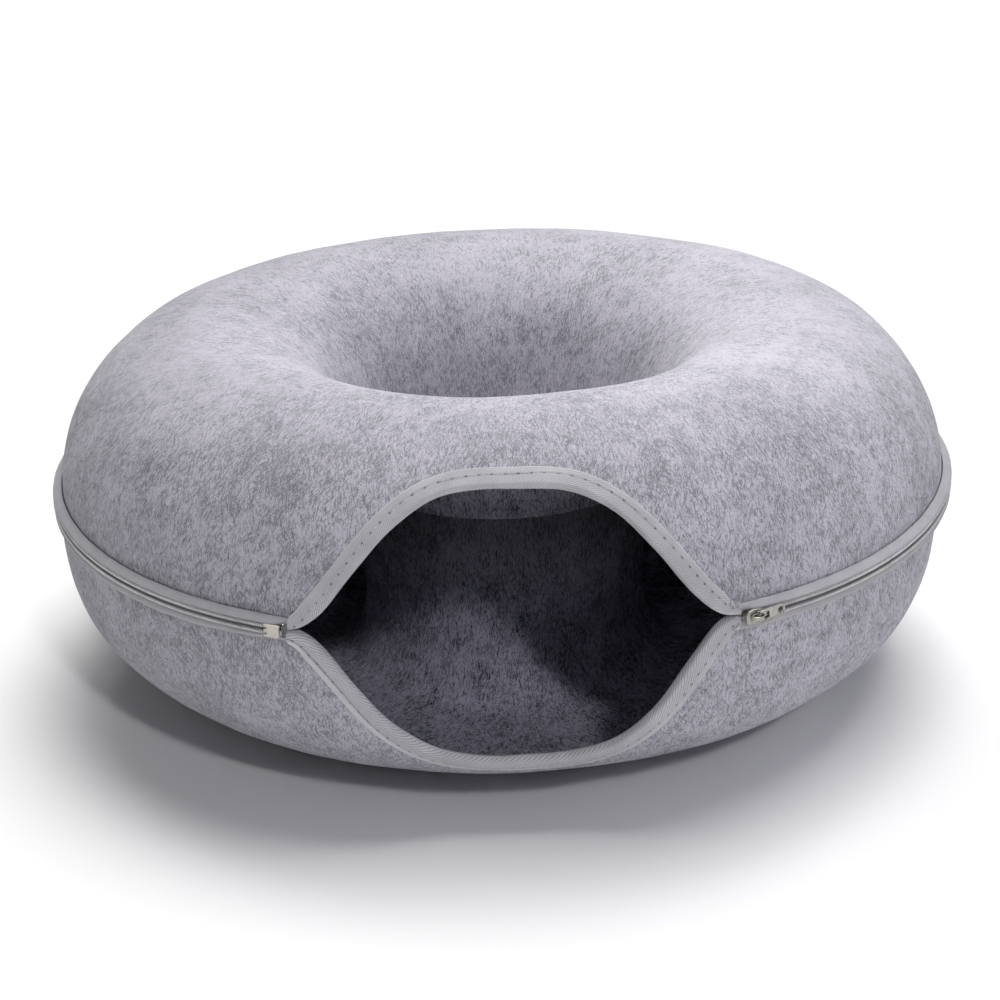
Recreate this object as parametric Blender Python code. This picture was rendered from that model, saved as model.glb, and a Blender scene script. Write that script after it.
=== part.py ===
"""Felt cat cave: a ring-shaped tunnel of two moulded felt shells.

The upper shell is a dome with a funnel in its middle. The lower shell is a bowl with a flat floor
ring and a neck that rises inside the funnel. A zip joins the two round the outside, and a woven
tape binds the edges of the mouth where they part. Metres, +Z up, the mouth faces -Y, and the
origin is on the ground under the middle of the bounding box.
"""
import math

import bmesh
import bpy
from mathutils import Matrix, Vector

# Driving dimensions of the ring
FELT_RADIUS = 0.2935
ZIP_HEIGHT = 0.135
HEIGHT = 0.240
CROWN_RADIUS = 0.198
FELT_THICKNESS = 0.0035
FUNNEL_RADIUS = 0.096
FUNNEL_END_HEIGHT = 0.131
NECK_TOP_HEIGHT = 0.140
NECK_FOOT_RADIUS = 0.120
NECK_FOOT_HEIGHT = 0.045
FLOOR_RADIUS = 0.135
CLEARANCE = 0.0003

# The mouth takes a little off the front, so the ring's centre lies this far forward of the origin
RING_CENTRE_Y = -0.0086

# Roundness of the curves: 1 is an ellipse, less is fuller
FUNNEL_FULLNESS = 0.89
BOWL_FULLNESS_SIDE = 1.10
BOWL_FULLNESS_FLOOR = 0.605

# How the soft ring has settled
BOWL_SWAY = -0.003
SWAY_INNER_RADIUS = 0.160
ZIP_WAVE = 0.0012
ZIP_WAVE_COUNT = 4
ZIP_WAVE_REACH = 0.050

# The mouth: the turn of its peak, how far it reaches from the zip there, for each side the turn to
# its corner with the roundness of the line that runs down to it, and how far the binding runs on
# along the zip beyond the right corner
UPPER_LIP = {"peak": 0.7, "reach": 0.0894, "left": (25.3, 1.72), "right": (25.3, 1.71), "tail": 0.8}
LOWER_LIP = {"peak": 1.8, "reach": 0.0905, "left": (26.0, 1.61), "right": (25.6, 1.65), "tail": 0.0}
LIP_PARTING = 0.0005
LIP_SETBACK = 0.0020
LIP_SLOPE_STEP = 0.1

# Binding of the mouth
BINDING_WIDTH = 0.0120
BINDING_END_WIDTH = 0.0080
BINDING_THICKNESS = 0.0010
BINDING_END_LIFT = 0.0030
BINDING_TAPER = 0.0180
BINDING_STEPS = 34
BINDING_FINE_STEPS = 400

# Zip: places are turns round the ring in degrees, from the front towards +X
CHAIN_WIDTH = 0.0058
CHAIN_BOTTOM = 0.0036
CHAIN_TOP = 0.0065
CHAIN_CHAMFER = 0.0008
CHAIN_FLAT_SHARE = 0.6
CHAIN_START = 28.2
CHAIN_END = 333.3
TAPE_RIGHT_END = 28.0
TAPE_LEFT_END = 334.1
TAPE_SLANT_REACH = 12.0
TAPE_LIP = 0.0032
TAPE_THICKNESS = 0.0010
TAPE_CREST = ((0.80, 0.0052), (0.58, 0.0065))
TAPE_LIP_FACES = (0.0056, 0.0043)
TAPE_HOLLOW = ((0.52, 0.0051), (0.72, 0.0040))
UPPER_TAPE = {"side": 1, "root": 0.0067, "narrowing": 0.0, "right_slant": -60.0, "left_slant": 50.0}
LOWER_TAPE = {"side": -1, "root": 0.0100, "narrowing": 0.3, "right_slant": -50.0, "left_slant": 50.0}
NEAR_COLUMN = 0.5

# Zip hardware, in frames on the zip line: along the ring, up, and out of the felt. An outline is
# its upper half, and a layer is where a plate begins and ends out of the felt.
SLIDER_TURN = 28.6
SLIDER_HALF = ((-0.0085, 0.0022), (-0.0075, 0.0040), (-0.0040, 0.0049), (0.0010, 0.0043),
               (0.0060, 0.0040), (0.0070, 0.0032))
SLIDER_TOP_LAYER = (0.0068, 0.0082)
SLIDER_BACK_LAYER = (0.0018, 0.0033)
SLIDER_BACK_SHARE = 0.58
NOSE_HALF = ((-0.0085, 0.0012), (-0.0045, 0.0018), (-0.0028, 0.0))
NOSE_LAYER = (0.0025, 0.0075)
LOOP = {"centre": -0.0014, "half_length": 0.0046, "foot": 0.0078, "crest": 0.0122,
        "width": 0.0024, "thickness": 0.0008, "steps": 8}
PULL_LENGTH = 0.0200
PULL_WIDTH = 0.0076
PULL_CORNER = 0.0022
PULL_THICKNESS = 0.0011
PULL_PLACE = (0.0078, 0.0006, 0.0085)
PULL_TILT = 8.5
PULL_TWIST = 2.0
WINDOW_LENGTH = 0.0066
WINDOW_WIDTH = 0.0042
WINDOW_CORNER = 0.0008
WINDOW_ALONG = -0.0053
HOLE_RADIUS = 0.0019
HOLE_SIDES = 10
HOLE_ALONG = 0.0066
CUT_MARGIN = 0.002
BOX_TURN = 333.6
BOX_HALF = ((-0.0046, 0.0030), (0.0036, 0.0030), (0.0046, 0.0022))
BOX_SLOT_HALF = ((-0.0046, 0.0012), (-0.0026, 0.0009))
BOX_LAYER = (CHAIN_TOP + CLEARANCE, 0.0080)
CLAMP_TURN = 334.75
CLAMP_OUTLINE = ((-0.0008, -0.0046), (0.0006, -0.0046), (0.0010, 0.0), (0.0006, 0.0046),
                 (-0.0008, 0.0046), (-0.0004, 0.0))
CLAMP_LAYER = (0.0050, 0.0074)

# How finely the faces are cut
PROFILE_SAMPLES = 90
PROFILE_NORMAL_STEP = 0.002
MOUTH_ZONE = 34.0
MOUTH_COLUMN_STEP = 2.0
BACK_COLUMNS = 40
MOUTH_EDGE_ROW = 0.007
UPPER_ROWS = (5, 8)
LOWER_ROWS = (7, 1, 5, 2)
CORNER_STEPS = 3
SMOOTH_ANGLE = 40.0


def quarter(start, end, radius_power, height_power, leaves_upright=True):
    """Points of a quarter of a superellipse in the (radius, height) plane, from start to end."""
    points = []
    for i in range(PROFILE_SAMPLES + 1):
        turn = math.pi / 2 * i / PROFILE_SAMPLES
        falling = max(math.cos(turn), 0.0)
        rising = math.sin(turn)
        if leaves_upright:
            radius = end[0] + (start[0] - end[0]) * falling ** radius_power
            height = start[1] + (end[1] - start[1]) * rising ** height_power
        else:
            radius = start[0] + (end[0] - start[0]) * rising ** radius_power
            height = end[1] + (start[1] - end[1]) * falling ** height_power
        points.append((radius, height))
    return points


class Profile:
    """A smooth line in the (radius, height) plane, read by the length along it."""

    def __init__(self, runs, inward_side):
        self.points = list(runs[0])
        self.inward_side = inward_side
        self.lengths = [0.0]
        ends = [len(runs[0]) - 1]
        for run in runs[1:]:
            self.points += run[1:]
            ends.append(len(self.points) - 1)
        for a, b in zip(self.points, self.points[1:]):
            self.lengths.append(self.lengths[-1] + math.dist(a, b))
        self.run_ends = [self.lengths[end] for end in ends]

    def read(self, length):
        """The point at a length along the line."""
        length = min(max(length, 0.0), self.lengths[-1])
        low, high = 0, len(self.lengths) - 1
        while high - low > 1:
            middle = (low + high) // 2
            if self.lengths[middle] <= length:
                low = middle
            else:
                high = middle
        part = (length - self.lengths[low]) / (self.lengths[high] - self.lengths[low])
        a, b = self.points[low], self.points[high]
        return (a[0] + (b[0] - a[0]) * part, a[1] + (b[1] - a[1]) * part)

    def offset(self, length, proud):
        """The point at a length along the line, moved out of the felt by proud."""
        before = self.read(length - PROFILE_NORMAL_STEP)
        after = self.read(length + PROFILE_NORMAL_STEP)
        step = math.dist(before, after)
        along = ((after[0] - before[0]) / step, (after[1] - before[1]) / step)
        inward = (-along[1] * self.inward_side, along[0] * self.inward_side)
        radius, height = self.read(length)
        return (radius - inward[0] * proud, height - inward[1] * proud)


def upper_profile():
    """Outer face of the upper shell, from the zip over the crown and down the funnel."""
    side = (FELT_RADIUS, ZIP_HEIGHT)
    crown = (CROWN_RADIUS, HEIGHT)
    funnel_end = (FUNNEL_RADIUS, FUNNEL_END_HEIGHT)
    outer = quarter(side, crown, 1.0, 1.0)
    inner = quarter(crown, funnel_end, FUNNEL_FULLNESS, FUNNEL_FULLNESS, leaves_upright=False)
    return Profile([outer, inner], inward_side=1)


def lower_profile():
    """Outer face of the lower shell, from the zip down to the floor and up the neck."""
    neck_radius = FUNNEL_RADIUS - CLEARANCE - FELT_THICKNESS
    side = (FELT_RADIUS, ZIP_HEIGHT)
    floor_edge = (FLOOR_RADIUS, 0.0)
    foot = (NECK_FOOT_RADIUS, 0.0)
    neck = (neck_radius, NECK_FOOT_HEIGHT)
    neck_top = (neck_radius, NECK_TOP_HEIGHT)
    bowl = quarter(side, floor_edge, BOWL_FULLNESS_SIDE, BOWL_FULLNESS_FLOOR)
    rise = quarter(foot, neck, 1.0, 1.0, leaves_upright=False)
    return Profile([bowl, [floor_edge, foot], rise, [neck, neck_top]], inward_side=-1)


UPPER = upper_profile()
LOWER = lower_profile()


def wave(turn):
    """Rise and fall of the zip line round the ring."""
    return ZIP_WAVE * math.cos(ZIP_WAVE_COUNT * math.radians(turn))


def ring_point(turn, radius, height, sway=0.0):
    """A world point; turn is in degrees from the front (-Y) towards +X."""
    angle = math.radians(turn)
    return Vector((radius * math.sin(angle) + sway, RING_CENTRE_Y - radius * math.cos(angle), height))


def upper_point(turn, length, proud=0.0):
    """A point on the upper shell, length away from the zip line."""
    radius, height = UPPER.offset(length, proud)
    lift = wave(turn) * max(0.0, 1.0 - length / ZIP_WAVE_REACH)
    return ring_point(turn, radius, height + lift)


def lower_point(turn, length, proud=0.0):
    """A point on the lower shell, length away from the zip line; the bowl sways a little to -X."""
    radius, height = LOWER.offset(length, proud)
    lift = wave(turn) * max(0.0, 1.0 - length / ZIP_WAVE_REACH)
    outward = (radius - SWAY_INNER_RADIUS) / (FELT_RADIUS - SWAY_INNER_RADIUS)
    share = min(max(outward, 0.0), 1.0) * max(height, 0.0) / ZIP_HEIGHT
    return ring_point(turn, radius, height + lift, BOWL_SWAY * share)


def zip_point(turn, up, out):
    """A point near the zip line: up from it, and out of the felt's radius."""
    return ring_point(turn, FELT_RADIUS + out, ZIP_HEIGHT + wave(turn) + up)


def signed_turn(turn):
    """The same turn between -180 and 180 degrees."""
    return (turn + 180.0) % 360.0 - 180.0


def lip_length(lip, turn):
    """How far the edge of the mouth lies from the zip line."""
    away = signed_turn(turn) - lip["peak"]
    corner, roundness = lip["right"] if away > 0.0 else lip["left"]
    share = abs(away) / corner
    if share >= 1.0:
        return LIP_PARTING
    return LIP_PARTING + lip["reach"] * math.cos(math.pi / 2 * share ** roundness) ** 2


def lip_slope(lip, turn):
    """Rise of the mouth's edge for each metre round the ring."""
    rise = lip_length(lip, turn + LIP_SLOPE_STEP) - lip_length(lip, turn - LIP_SLOPE_STEP)
    return rise / (FELT_RADIUS * math.radians(2 * LIP_SLOPE_STEP))


def felt_edge_length(lip, turn):
    """Where the felt is cut: set back from the edge of the mouth, square to that edge."""
    return lip_length(lip, turn) + LIP_SETBACK * math.sqrt(1.0 + lip_slope(lip, turn) ** 2)


def column_turns():
    """Turns of the columns of faces: close together at the mouth, wider round the back."""
    count = round(2 * MOUTH_ZONE / MOUTH_COLUMN_STEP)
    turns = [-MOUTH_ZONE + i * MOUTH_COLUMN_STEP for i in range(count + 1)]
    back_step = (360.0 - 2 * MOUTH_ZONE) / BACK_COLUMNS
    turns += [MOUTH_ZONE + i * back_step for i in range(1, BACK_COLUMNS)]
    return turns


def shell_sections(point, profile, lip, run_rows):
    """A closed section of felt for each column, with run_rows faces along each run of the profile."""
    sections = []
    for turn in column_turns():
        edge = felt_edge_length(lip, turn)
        lengths = [edge, edge + MOUTH_EDGE_ROW, edge + 2 * MOUTH_EDGE_ROW]
        for end, rows in zip(profile.run_ends, run_rows):
            start = lengths[-1]
            lengths += [start + (end - start) * (i + 1) / rows for i in range(rows)]
        outer = [point(turn, length) for length in lengths]
        inner = [point(turn, length, -FELT_THICKNESS) for length in reversed(lengths)]
        sections.append(outer + inner)
    return sections


def loft(name, sections, closed, finish):
    """One solid through a row of sections that have the same number of points."""
    mesh = bmesh.new()
    rows = [[mesh.verts.new(point) for point in section] for section in sections]
    pairs = list(zip(rows, rows[1:]))
    if closed:
        pairs.append((rows[-1], rows[0]))
    else:
        mesh.faces.new(rows[0])
        mesh.faces.new(rows[-1])
    for row, following in pairs:
        for i in range(len(row)):
            j = (i + 1) % len(row)
            mesh.faces.new((row[i], row[j], following[j], following[i]))
    bmesh.ops.triangulate(mesh, faces=mesh.faces)
    bmesh.ops.recalc_face_normals(mesh, faces=mesh.faces)
    return add_object(name, mesh, finish)


def add_object(name, mesh, finish, parent=None):
    """An object from a bmesh, smooth where its faces meet at a low angle."""
    data = bpy.data.meshes.new(name)
    mesh.to_mesh(data)
    mesh.free()
    data.shade_smooth()
    data.set_sharp_from_angle(angle=math.radians(SMOOTH_ANGLE))
    data.materials.append(finish)
    item = bpy.data.objects.new(name, data)
    item.parent = parent
    bpy.context.scene.collection.objects.link(item)
    return item


def material(name, colour, roughness, metallic=0.0):
    """A plain finish."""
    finish = bpy.data.materials.new(name)
    finish.use_nodes = True
    shader = finish.node_tree.nodes["Principled BSDF"]
    shader.inputs["Base Color"].default_value = (*colour, 1.0)
    shader.inputs["Roughness"].default_value = roughness
    shader.inputs["Metallic"].default_value = metallic
    return finish


def even_path(point, lip):
    """Turns evenly spaced along the edge of the mouth, each with the length travelled, and the whole."""
    low = lip["peak"] - lip["left"][0]
    span = lip["left"][0] + lip["right"][0] + lip["tail"]
    turns = [low + span * i / BINDING_FINE_STEPS for i in range(BINDING_FINE_STEPS + 1)]
    places = [point(turn, lip_length(lip, turn)) for turn in turns]
    lengths = [0.0]
    for a, b in zip(places, places[1:]):
        lengths.append(lengths[-1] + (b - a).length)
    even = []
    index = 0
    for i in range(BINDING_STEPS + 1):
        wanted = lengths[-1] * i / BINDING_STEPS
        while index < BINDING_FINE_STEPS - 1 and lengths[index + 1] < wanted:
            index += 1
        part = (wanted - lengths[index]) / (lengths[index + 1] - lengths[index])
        even.append((turns[index] + (turns[index + 1] - turns[index]) * part, wanted))
    return even, lengths[-1]


def binding_sections(point, lip):
    """Sections of the tape folded over the felt: outer leg, fold and inner leg."""
    path, whole = even_path(point, lip)
    fold = BINDING_THICKNESS + CLEARANCE
    inner_face = -FELT_THICKNESS - 2 * CLEARANCE
    inner_back = inner_face - BINDING_THICKNESS
    sections = []
    for turn, travelled in path:
        slope = lip_slope(lip, turn)
        square = math.sqrt(1.0 + slope * slope)
        near_end = max(0.0, 1.0 - min(travelled, whole - travelled) / BINDING_TAPER)
        width = BINDING_WIDTH + (BINDING_END_WIDTH - BINDING_WIDTH) * near_end
        middle = (width + fold) / 2
        lift = BINDING_END_LIFT * near_end * near_end

        def leg(into, proud):
            aside = -slope / square * into / (FELT_RADIUS * math.radians(1.0))
            return point(turn + aside, lip_length(lip, turn) + into / square, proud)

        sections.append([
            leg(width, fold + lift / 2),
            leg(middle, fold + lift),
            leg(fold, fold + lift),
            leg(0.0, lift / 2),
            leg(0.0, -FELT_THICKNESS),
            leg(fold, inner_back),
            leg(middle, inner_back),
            leg(width, inner_back),
            leg(width, inner_face),
            leg(middle, inner_face),
            leg(fold, inner_face),
            leg(fold, CLEARANCE + lift),
            leg(middle, CLEARANCE + lift),
            leg(width, CLEARANCE + lift / 2),
        ])
    return sections


def turns_between(start, end):
    """Turns from start round the back to end, at the columns of the felt that lie between."""
    columns = sorted(turn % 360.0 for turn in column_turns())
    between = [turn for turn in columns if start + NEAR_COLUMN < turn < end - NEAR_COLUMN]
    return [start] + between + [end]


def slanted(tape, turn, up):
    """The turn of a tape's point: the tape's ends are cut on the slant, along the bindings."""
    from_right = max(0.0, 1.0 - (turn - TAPE_RIGHT_END) / TAPE_SLANT_REACH)
    from_left = max(0.0, 1.0 - (TAPE_LEFT_END - turn) / TAPE_SLANT_REACH)
    return turn + up * (tape["right_slant"] * from_right + tape["left_slant"] * from_left)


def tape_sections(point, tape):
    """Sections of one zip tape: from the felt out over a soft crest to the edge of the chain."""
    sections = []
    for turn in turns_between(TAPE_RIGHT_END, TAPE_LEFT_END):
        near_left = max(0.0, 1.0 - (TAPE_LEFT_END - turn) / TAPE_SLANT_REACH)
        reach = tape["root"] * (1.0 - tape["narrowing"] * near_left)

        def soft(up, out):
            return zip_point(slanted(tape, turn, up), tape["side"] * up, out)

        def sewn(up, proud):
            return point(slanted(tape, turn, up), up, proud)

        section = [sewn(reach, CLEARANCE + TAPE_THICKNESS)]
        section += [soft(share * reach, out) for share, out in TAPE_CREST]
        section += [soft(TAPE_LIP, out) for out in TAPE_LIP_FACES]
        section += [soft(share * reach, out) for share, out in TAPE_HOLLOW]
        section.append(sewn(reach, CLEARANCE))
        sections.append(section)
    return sections


def chain_sections():
    """The closed coils of the zip, as one low rounded strip."""
    half = CHAIN_WIDTH / 2
    shoulder = CHAIN_TOP - CHAIN_CHAMFER
    sections = []
    for turn in turns_between(CHAIN_START, CHAIN_END):
        sections.append([
            zip_point(turn, half, CHAIN_BOTTOM),
            zip_point(turn, half, shoulder),
            zip_point(turn, CHAIN_FLAT_SHARE * half, CHAIN_TOP),
            zip_point(turn, -CHAIN_FLAT_SHARE * half, CHAIN_TOP),
            zip_point(turn, -half, shoulder),
            zip_point(turn, -half, CHAIN_BOTTOM),
        ])
    return sections


def mirrored(half):
    """A whole outline from its upper half."""
    lower = [(along, -up) for along, up in half]
    return lower + [(along, up) for along, up in reversed(half) if up > 0.0]


def plate(outline, layer):
    """A flat plate: an outline in the (along, up) plane, thickened over a layer out of the felt."""
    mesh = bmesh.new()
    corners = [mesh.verts.new((along, up, layer[0])) for along, up in outline]
    face = mesh.faces.new(corners)
    grown = bmesh.ops.extrude_face_region(mesh, geom=[face])
    moved = [item for item in grown["geom"] if isinstance(item, bmesh.types.BMVert)]
    bmesh.ops.translate(mesh, verts=moved, vec=(0.0, 0.0, layer[1] - layer[0]))
    bmesh.ops.recalc_face_normals(mesh, faces=mesh.faces)
    return mesh


def rounded_outline(length, width, radius):
    """A rectangle with round corners, centred, as (along, up) points."""
    points = []
    for corner in range(4):
        sign_x = 1 if corner in (0, 3) else -1
        sign_y = 1 if corner in (0, 1) else -1
        for i in range(CORNER_STEPS + 1):
            angle = math.pi / 2 * (corner + i / CORNER_STEPS)
            x = sign_x * (length / 2 - radius) + radius * math.cos(angle)
            y = sign_y * (width / 2 - radius) + radius * math.sin(angle)
            points.append((x, y))
    return points


def round_outline(radius, sides):
    """A circle as (along, up) points."""
    angles = [math.tau * i / sides for i in range(sides)]
    return [(radius * math.cos(angle), radius * math.sin(angle)) for angle in angles]


def zip_frame(name, turn):
    """An empty on the zip line: X runs round the ring, Y up, Z out; its origin is on the felt."""
    angle = math.radians(turn)
    along = Vector((math.cos(angle), math.sin(angle), 0.0))
    up = Vector((0.0, 0.0, 1.0))
    out = along.cross(up)
    place = zip_point(turn, 0.0, 0.0)
    empty = bpy.data.objects.new(name, None)
    empty.matrix_world = Matrix.Translation(place) @ Matrix((along, up, out)).transposed().to_4x4()
    bpy.context.scene.collection.objects.link(empty)
    return empty


def join(base, piece, operation):
    """A Boolean of a rigid piece with base; the piece stays as a hidden guide."""
    piece.hide_render = True
    piece.display_type = "WIRE"
    change = base.modifiers.new(operation.lower() + "_" + piece.name, "BOOLEAN")
    change.operation = operation
    change.object = piece


def slider_loop(metal, frame):
    """The slider's loop over the pull: a flat strip bent into a half ring along the zip."""
    sections = []
    half_width = LOOP["width"] / 2
    for i in range(LOOP["steps"] + 1):
        angle = math.pi * i / LOOP["steps"]
        ring = []
        for inset in (LOOP["thickness"], 0.0):
            along = LOOP["centre"] - (LOOP["half_length"] - inset) * math.cos(angle)
            out = LOOP["foot"] + (LOOP["crest"] - LOOP["foot"] - inset) * math.sin(angle)
            ring.append((along, out))
        (x0, z0), (x1, z1) = ring
        sections.append([
            Vector((x0, -half_width, z0)),
            Vector((x1, -half_width, z1)),
            Vector((x1, half_width, z1)),
            Vector((x0, half_width, z0)),
        ])
    loop = loft("slider_loop", sections, False, metal)
    loop.parent = frame
    return loop


def zip_slider(metal):
    """The slider: two plates joined by a nose, with a loop on top that holds the pull."""
    frame = zip_frame("slider_frame", SLIDER_TURN)
    back_half = [(along, up * SLIDER_BACK_SHARE) for along, up in SLIDER_HALF]
    slider = add_object("zip_slider", plate(mirrored(SLIDER_HALF), SLIDER_TOP_LAYER), metal, frame)
    back = add_object("slider_back", plate(mirrored(back_half), SLIDER_BACK_LAYER), metal, frame)
    nose = add_object("slider_nose", plate(mirrored(NOSE_HALF), NOSE_LAYER), metal, frame)
    for piece in (back, nose, slider_loop(metal, frame)):
        join(slider, piece, "UNION")
    return slider


def zip_pull(metal):
    """The pull: a flat tab with a window for the slider's loop and a round hole at its far end."""
    frame = zip_frame("pull_frame", SLIDER_TURN)
    tab_outline = rounded_outline(PULL_LENGTH, PULL_WIDTH, PULL_CORNER)
    tab = add_object("zip_pull", plate(tab_outline, (0.0, PULL_THICKNESS)), metal, frame)
    tab.location = PULL_PLACE
    tab.rotation_euler = (0.0, math.radians(PULL_TILT), math.radians(PULL_TWIST))
    through = (-CUT_MARGIN, PULL_THICKNESS + CUT_MARGIN)
    window_outline = rounded_outline(WINDOW_LENGTH, WINDOW_WIDTH, WINDOW_CORNER)
    window = add_object("pull_window", plate(window_outline, through), metal, tab)
    window.location.x = WINDOW_ALONG
    hole = add_object("pull_hole", plate(round_outline(HOLE_RADIUS, HOLE_SIDES), through), metal, tab)
    hole.location.x = HOLE_ALONG
    for cutter in (window, hole):
        join(tab, cutter, "DIFFERENCE")
    return tab


def zip_stop_box(plastic):
    """The moulded box that closes the zip's start; its forked end takes the chain."""
    frame = zip_frame("box_frame", BOX_TURN)
    slot = [(along, up) for along, up in BOX_SLOT_HALF]
    slot += [(along, -up) for along, up in reversed(BOX_SLOT_HALF)]
    outline = mirrored(BOX_HALF) + slot
    return add_object("zip_stop_box", plate(outline, BOX_LAYER), plastic, frame)


def zip_end_clamp(metal):
    """The small metal clamp beside the stop box."""
    frame = zip_frame("clamp_frame", CLAMP_TURN)
    return add_object("zip_end_clamp", plate(CLAMP_OUTLINE, CLAMP_LAYER), metal, frame)


def build():
    """All the pieces of the cave."""
    for item in list(bpy.data.objects):
        bpy.data.objects.remove(item)
    felt = material("grey_felt", (0.42, 0.41, 0.45), 0.95)
    woven = material("binding_twill", (0.47, 0.46, 0.48), 0.80)
    tape = material("zip_tape", (0.40, 0.39, 0.41), 0.70)
    coil = material("zip_coil", (0.52, 0.50, 0.53), 0.45)
    cream = material("stop_plastic", (0.72, 0.69, 0.63), 0.40)
    metal = material("zip_metal", (0.55, 0.53, 0.49), 0.30, 1.0)

    loft("upper_shell", shell_sections(upper_point, UPPER, UPPER_LIP, UPPER_ROWS), True, felt)
    loft("lower_shell", shell_sections(lower_point, LOWER, LOWER_LIP, LOWER_ROWS), True, felt)
    loft("binding_upper", binding_sections(upper_point, UPPER_LIP), False, woven)
    loft("binding_lower", binding_sections(lower_point, LOWER_LIP), False, woven)
    loft("zip_tape_upper", tape_sections(upper_point, UPPER_TAPE), False, tape)
    loft("zip_tape_lower", tape_sections(lower_point, LOWER_TAPE), False, tape)
    loft("zip_chain", chain_sections(), False, coil)
    zip_stop_box(cream)
    zip_end_clamp(metal)
    zip_slider(metal)
    zip_pull(metal)


build()
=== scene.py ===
import math

import bpy
import numpy as np
from mathutils import Matrix, Vector


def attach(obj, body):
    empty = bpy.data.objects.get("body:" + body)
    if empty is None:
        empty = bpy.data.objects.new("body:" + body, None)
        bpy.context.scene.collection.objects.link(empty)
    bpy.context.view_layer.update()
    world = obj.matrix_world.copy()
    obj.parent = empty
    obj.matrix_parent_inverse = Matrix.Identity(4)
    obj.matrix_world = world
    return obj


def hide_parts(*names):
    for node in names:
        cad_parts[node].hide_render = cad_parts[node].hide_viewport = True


# Looks of the felt cat cave: fine felt shells, twill bindings, soft zip tapes, the zip's coils and
# its hardware, each in the place of its CAD solid. Metres, +Z up, the mouth faces -Y.

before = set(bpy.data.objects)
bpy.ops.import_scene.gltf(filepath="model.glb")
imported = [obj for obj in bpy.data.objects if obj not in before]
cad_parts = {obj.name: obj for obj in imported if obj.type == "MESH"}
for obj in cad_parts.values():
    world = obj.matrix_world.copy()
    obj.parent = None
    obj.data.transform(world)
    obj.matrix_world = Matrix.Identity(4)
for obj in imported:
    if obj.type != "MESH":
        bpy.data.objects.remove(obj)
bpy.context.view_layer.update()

# The ring, with the same named values as the CAD source
FELT_RADIUS = 0.2935
ZIP_HEIGHT = 0.135
HEIGHT = 0.240
CROWN_RADIUS = 0.198
FELT_THICKNESS = 0.0035
FUNNEL_RADIUS = 0.096
FUNNEL_END_HEIGHT = 0.131
NECK_TOP_HEIGHT = 0.140
NECK_FOOT_RADIUS = 0.120
NECK_FOOT_HEIGHT = 0.045
FLOOR_RADIUS = 0.135
CLEARANCE = 0.0003
RING_CENTRE_Y = -0.0086
FUNNEL_FULLNESS = 0.89
BOWL_FULLNESS_SIDE = 1.10
BOWL_FULLNESS_FLOOR = 0.605
BOWL_SWAY = -0.003
SWAY_INNER_RADIUS = 0.160
ZIP_WAVE = 0.0012
ZIP_WAVE_COUNT = 4
ZIP_WAVE_REACH = 0.050

UPPER_LIP = {"peak": 0.7, "reach": 0.0894, "left": (25.3, 1.72), "right": (25.3, 1.71), "tail": 0.8}
LOWER_LIP = {"peak": 1.8, "reach": 0.0905, "left": (26.0, 1.61), "right": (25.6, 1.65), "tail": 0.0}
LIP_PARTING = 0.0005
LIP_SETBACK = 0.0020

BINDING_WIDTH = 0.0120
BINDING_END_WIDTH = 0.0080
BINDING_THICKNESS = 0.0010
BINDING_END_LIFT = 0.0030
BINDING_TAPER = 0.0180

CHAIN_START = 28.2
CHAIN_END = 333.3
TAPE_RIGHT_END = 28.0
TAPE_LEFT_END = 334.1
TAPE_SLANT_REACH = 12.0
TAPE_LIP = 0.0032
TAPE_THICKNESS = 0.0010
TAPE_CREST = ((0.80, 0.0052), (0.58, 0.0065))
TAPE_LIP_FACES = (0.0056, 0.0043)
TAPE_TUCK = 1.2
TAPE_HOLLOW = ((0.52, 0.0051), (0.72, 0.0040))
UPPER_TAPE = {"side": 1, "root": 0.0067, "narrowing": 0.0, "right_slant": -60.0, "left_slant": 50.0}
LOWER_TAPE = {"side": -1, "root": 0.0100, "narrowing": 0.3, "right_slant": -50.0, "left_slant": 50.0}

SLIDER_TURN = 28.6
BOX_TURN = 333.6
CLAMP_TURN = 334.75


# ---------------------------------------------------------------- shape of the ring

def quarter(start, end, radius_power, height_power, leaves_upright=True, steps=500):
    turn = math.pi / 2 * (1 - np.cos(math.pi * np.linspace(0, 1, steps + 1))) / 2
    falling, rising = np.cos(turn).clip(0), np.sin(turn).clip(0)
    if leaves_upright:
        radius = end[0] + (start[0] - end[0]) * falling ** radius_power
        height = start[1] + (end[1] - start[1]) * rising ** height_power
    else:
        radius = start[0] + (end[0] - start[0]) * rising ** radius_power
        height = end[1] + (start[1] - end[1]) * falling ** height_power
    return np.stack([radius, height], 1)


class Profile:
    """A line in the (radius, height) plane, read by the length along it."""

    def __init__(self, runs, inward_side):
        self.points = np.concatenate([runs[0]] + [np.asarray(run)[1:] for run in runs[1:]])
        steps = np.hypot(*np.diff(self.points, axis=0).T)
        self.lengths = np.concatenate([[0.0], np.cumsum(steps)])
        self.whole = self.lengths[-1]
        self.inward_side = inward_side

    def read(self, length):
        length = np.clip(length, 0, self.whole)
        return (np.interp(length, self.lengths, self.points[:, 0]),
                np.interp(length, self.lengths, self.points[:, 1]))

    def offset(self, length, proud, step=0.002):
        r0, z0 = self.read(length - step)
        r1, z1 = self.read(length + step)
        size = np.maximum(np.hypot(r1 - r0, z1 - z0), 1e-9)
        radius, height = self.read(length)
        inward_r = -(z1 - z0) / size * self.inward_side
        inward_z = (r1 - r0) / size * self.inward_side
        return radius - inward_r * proud, height - inward_z * proud


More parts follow.
